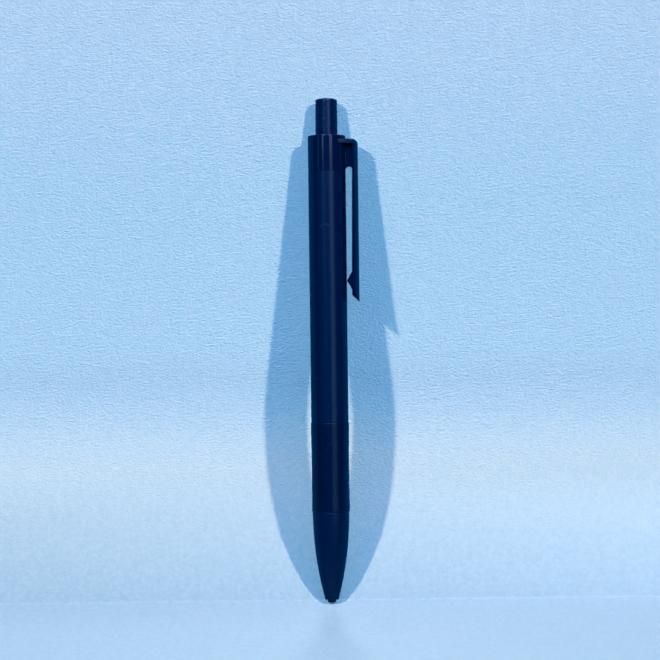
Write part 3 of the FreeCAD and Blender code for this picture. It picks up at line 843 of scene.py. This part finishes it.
def graded(n, height, stops):
    """A value that changes with height; stops are (height in mm, value) pairs."""
    low, high = stops[0][0], stops[-1][0]
    ramp = n.add("ShaderNodeValToRGB")
    elements = ramp.color_ramp.elements
    while len(elements) < len(stops):
        elements.new(0.5)
    for element, (level, value) in zip(elements, stops):
        element.position = (level - low) / (high - low)
    for element, (level, value) in zip(elements, stops):
        element.color = (value, value, value, 1)
    n.link(n.remap(height, low * MM, high * MM, 0.0, 1.0), ramp.inputs[0])
    return ramp.outputs[0]


def backdrop_material():
    """Fine-grained pale card, seen only from its front, so that it never hides the pen's back.

    Its lower part is darker in reflections than it is to the eye, except in steep ones."""
    n = Nodes("backdrop_card")
    height = n.add("ShaderNodeSeparateXYZ")
    n.link(n.coords, height.inputs[0])
    path = n.add("ShaderNodeLightPath")
    sight = n.add("ShaderNodeAttribute", attribute_name="rise")
    # Painted light and shade: the card's colour follows its height in the view, lighter and darker in bands.
    ramp = n.add("ShaderNodeValToRGB")
    while len(ramp.color_ramp.elements) < len(CARD_PAINTED_SHADING):
        ramp.color_ramp.elements.new(0.5)
    for element, (share, color) in zip(ramp.color_ramp.elements, CARD_PAINTED_SHADING):
        element.position = share
    for element, (share, color) in zip(ramp.color_ramp.elements, CARD_PAINTED_SHADING):
        element.color = rgb(*color)
    n.link(sight.outputs["Fac"], ramp.inputs[0])
    # The painted side light scales the card's tone.
    side = n.add("ShaderNodeAttribute", attribute_name="tilt")
    scaled = n.add("ShaderNodeVectorMath", operation="SCALE")
    n.link(ramp.outputs[0], scaled.inputs[0])
    n.link(side.outputs["Fac"], scaled.inputs["Scale"])
    tone = scaled.outputs[0]
    speckle = n.remap(n.noise(700, 4, 0.6), 0.35, 0.65, 0.0, 0.08)
    seen = n.mix(speckle, tone, rgb(1, 1, 1))
    upper = n.remap(height.outputs["Z"], 0.145, 0.175, 0.0, 1.0)
    near = n.remap(sight.outputs["Fac"], -0.02, 0.015, 0.0, 1.0)
    mirrored = n.mix(upper, n.mix(near, rgb(*FLOOR_MIRRORED), rgb(*CARD_MIRRORED)), seen)
    geometry = n.add("ShaderNodeNewGeometry")
    towards = n.add("ShaderNodeSeparateXYZ")
    n.link(geometry.outputs["Incoming"], towards.inputs[0])
    mirrored = n.mix(n.remap(towards.outputs["Z"], 0.5, 0.65, 0.0, 0.6), mirrored, seen)
    n.link(n.mix(path.outputs["Is Glossy Ray"], seen, mirrored), n.shader.inputs["Base Color"])
    n.link(n.bump(n.noise(1900, 3, 0.55, stretch=(0.7, 1, 1.15)), 0.00045, 0.9), n.shader.inputs["Normal"])
    n.set(Roughness=0.85, Specular_IOR_Level=0.2)
    behind = geometry.outputs["Backfacing"]
    clear = n.add("ShaderNodeBsdfTransparent")
    choose = n.add("ShaderNodeMixShader")
    n.link(n.math("MAXIMUM", behind, path.outputs["Is Shadow Ray"]), choose.inputs[0])
    n.link(n.shader.outputs[0], choose.inputs[1])
    n.link(clear.outputs[0], choose.inputs[2])
    n.link(choose.outputs[0], n.tree.nodes["Material Output"].inputs["Surface"])
    return n.material


centre = Vector((0, 0, 75 * MM))


def from_centre(azimuth, elevation, distance):
    """A place at a distance from the pen's middle; azimuth 0 is the camera's side, in degrees."""
    a, e = math.radians(azimuth), math.radians(elevation)
    return centre + distance * Vector((math.sin(a) * math.cos(e), -math.cos(a) * math.cos(e), math.sin(e)))


def add_light(name, azimuth, elevation, distance, size, power, color, glossy=True):
    """A square area light that points at the pen's middle."""
    data = bpy.data.lights.new(name, "AREA")
    data.shape = "RECTANGLE"
    data.size, data.size_y = size, size
    data.energy = power
    data.color = color
    obj = bpy.data.objects.new(name, data)
    bpy.context.scene.collection.objects.link(obj)
    obj.location = from_centre(azimuth, elevation, distance)
    obj.rotation_euler = (centre - obj.location).to_track_quat("-Z", "Y").to_euler()
    obj.visible_glossy = glossy
    return obj


STRIP_TINT = (0.52, 0.77, 1.0)
LOW_TINT = (0.27, 0.77, 1.0)
SHEEN_TINT = (0.12, 0.77, 1.0)


def add_strip(name, azimuth, width_deg, stops, distance=0.8, tint=STRIP_TINT):
    """A glowing upright strip that only shows as a reflection.

    The stops are (height in mm, brightness) pairs."""
    low, high = stops[0][0], stops[-1][0]
    a = math.radians(azimuth)
    out = Vector((math.sin(a), -math.cos(a), 0)) * distance
    side = Vector((math.cos(a), math.sin(a), 0)) * distance * math.tan(math.radians(width_deg / 2))
    bm = bmesh.new()
    corners = ((-1, low), (1, low), (1, high), (-1, high))
    bm.faces.new([bm.verts.new(out + side * sign + Vector((0, 0, z * MM))) for sign, z in corners])
    obj = helper_object(name, bm)
    n = Nodes(name + "_glow")
    height = n.add("ShaderNodeSeparateXYZ")
    n.link(n.coords, height.inputs[0])
    glow = n.add("ShaderNodeEmission")
    glow.inputs["Color"].default_value = rgb(*tint)
    n.link(graded(n, height.outputs["Z"], stops), glow.inputs["Strength"])
    n.link(glow.outputs[0], n.tree.nodes["Material Output"].inputs["Surface"])
    obj.data.materials.append(n.material)
    obj.visible_camera = obj.visible_diffuse = obj.visible_shadow = False
    obj.visible_transmission = obj.visible_volume_scatter = False


make_backdrop()
KEY_COLOR = (1.0, 0.893, 0.586)
FILL_COLOR = (0.0, 0.276, 1.0)
CARD_FILL_COLOR = (0.16, 0.34, 1.0)
BACK_COLOR = (0.95, 0.97, 1.0)
KEY_SIDE, KEY_UP, KEY_FAR, KEY_SIZE, KEY_POWER = 31.4, 25, 1.1, 0.045, 8.87
FILL_UP, FILL_FAR, FILL_SIZE = 35, 1.3, 1.2
add_light("key_right", KEY_SIDE, KEY_UP, KEY_FAR, KEY_SIZE, KEY_POWER, KEY_COLOR, glossy=False)
add_light("key_left", -KEY_SIDE, KEY_UP, KEY_FAR, KEY_SIZE, KEY_POWER, KEY_COLOR, glossy=False)
# The fill comes twice: without shadows for the card, and with shadows for the pen.
card_fill = add_light("card_fill", 0, FILL_UP, FILL_FAR, FILL_SIZE, 16.1, CARD_FILL_COLOR, glossy=False)
card_fill.data.use_shadow = False
pen_fill = add_light("pen_fill", 0, FILL_UP, FILL_FAR, FILL_SIZE, 15.3, FILL_COLOR, glossy=False)
backdrop = bpy.data.objects["backdrop"]
for light, state in ((card_fill, "INCLUDE"), (pen_fill, "EXCLUDE")):
    receivers = bpy.data.collections.new(light.name + "_receivers")
    receivers.objects.link(backdrop)
    receivers.collection_objects[0].light_linking.link_state = state
    light.light_linking.receiver_collection = receivers
add_light("back_fill", 180, 12, 0.9, 0.3, 7.0, BACK_COLOR)

RIGHT_LOW = [(-75, 0.1), (-55, 0.35), (-34, 0.95), (-7, 2.2), (14, 1.6), (41, 0.6), (69, 0.4), (84, 0.7)]
RIGHT_MID = [(84, 0.7), (97, 1.2), (112, 0.0), (136, 0.0), (147, 2.0), (165, 1.8), (174, 0.5), (183, 0.3)]
RIGHT_HIGH = [(183, 0.9), (190, 0.5), (194, 1.0), (198.5, 1.0), (202, 1.6), (204, 2.2), (206, 3.0)]
RIGHT_HIGH += [(209, 4.2), (213, 1.3), (223, 0.9), (232, 1.8), (245, 2.0), (300, 1.0), (370, 1.0)]
RIGHT_HIGH += [(400, 9.0), (1200, 9.0)]
LEFT_LOW = [(-75, 0.02), (-7, 0.1), (41, 0.06), (69, 0.15), (97, 0.4), (118, 0.0), (130, 0.0), (147, 0.95)]
LEFT_LOW += [(165, 0.65), (176, 0.15), (183, 0.1)]
LEFT_HIGH = [(183, 0.45), (190, 0.4), (194, 0.1), (198.5, 0.8), (202, 1.45), (204, 1.75), (206, 3.7)]
LEFT_HIGH += [(209, 7.0), (213, 0.5), (300, 0.5), (370, 0.5), (400, 16.0), (1200, 16.0)]
MIDDLE = [(-75, 0.0), (-34, 0.0), (-7, 0.1), (14, 0.1), (41, 0.0), (69, 0.02), (97, 0.1), (124, 0.0)]
MIDDLE += [(145, 0.25), (165, 0.15), (176, 0.07), (185, 0.03), (194, 0.08), (202, 0.08), (209, 0.16)]
MIDDLE += [(215, 0.1), (370, 0.05), (420, 3.5), (1200, 3.5)]
FAR_LEFT = [(-60, 0.1), (100, 0.3), (150, 0.6), (185, 0.5), (190, 0.9), (240, 0.9)]
SIDE = [(-60, 0.2), (150, 0.1), (240, 0.1)]
add_strip("strip_right_low", 28, 26, RIGHT_LOW, tint=LOW_TINT)
add_strip("strip_right_mid", 27, 24, RIGHT_MID)
add_strip("strip_right_high", 25, 17, RIGHT_HIGH)
add_strip("strip_left_low", -22, 20, LEFT_LOW, tint=SHEEN_TINT)
add_strip("strip_left_high", -24, 8, LEFT_HIGH)
add_strip("strip_middle", 0, 44, MIDDLE, distance=0.85, tint=SHEEN_TINT)
add_strip("strip_far_left", -52, 5, FAR_LEFT, tint=SHEEN_TINT)
add_strip("strip_side", -90, 4, SIDE)

# The room is dark to the pen and pale to the camera.
world = bpy.data.worlds.new("room")
bpy.context.scene.world = world
world.use_nodes = True
sky = world.node_tree
background = sky.nodes["Background"]
background.inputs["Color"].default_value = (0.004, 0.005, 0.008, 1)
pale = sky.nodes.new("ShaderNodeBackground")
pale.inputs["Color"].default_value = (0.34, 0.55, 0.78, 1)
seen_directly = sky.nodes.new("ShaderNodeLightPath").outputs["Is Camera Ray"]
choose = sky.nodes.new("ShaderNodeMixShader")
for source, socket in ((seen_directly, 0), (background.outputs[0], 1), (pale.outputs[0], 2)):
    sky.links.new(source, choose.inputs[socket])
sky.links.new(choose.outputs[0], sky.nodes["World Output"].inputs["Surface"])

camera_data = bpy.data.cameras.new("camera")
camera = bpy.data.objects.new("camera", camera_data)
bpy.context.scene.collection.objects.link(camera)
SENSOR_WIDTH = 36
camera_data.sensor_width = SENSOR_WIDTH
camera_data.lens = SENSOR_WIDTH * EYE_DISTANCE / VIEW_WIDTH
camera_data.clip_start, camera_data.clip_end = 0.01, 10
camera.location = (0.00033, -EYE_DISTANCE, EYE_HEIGHT)
ROLL = math.radians(-0.69)
look = Matrix.Rotation(math.radians(90), 4, "X") @ Matrix.Rotation(ROLL, 4, "Z")
camera.rotation_euler = look.to_euler()
bpy.context.scene.camera = camera
view = bpy.context.scene.view_settings
view.view_transform = "Standard"
view.use_curve_mapping = True
# Red is held back in the half-lit tones and in the darkest ones.
red = view.curve_mapping.curves[0]
for level, value in ((0.06, 0.058), (0.20, 0.138), (0.38, 0.38)):
    red.points.new(level, value)
view.curve_mapping.black_level = (0.0014, 0.0, 0.0)
view.curve_mapping.update()
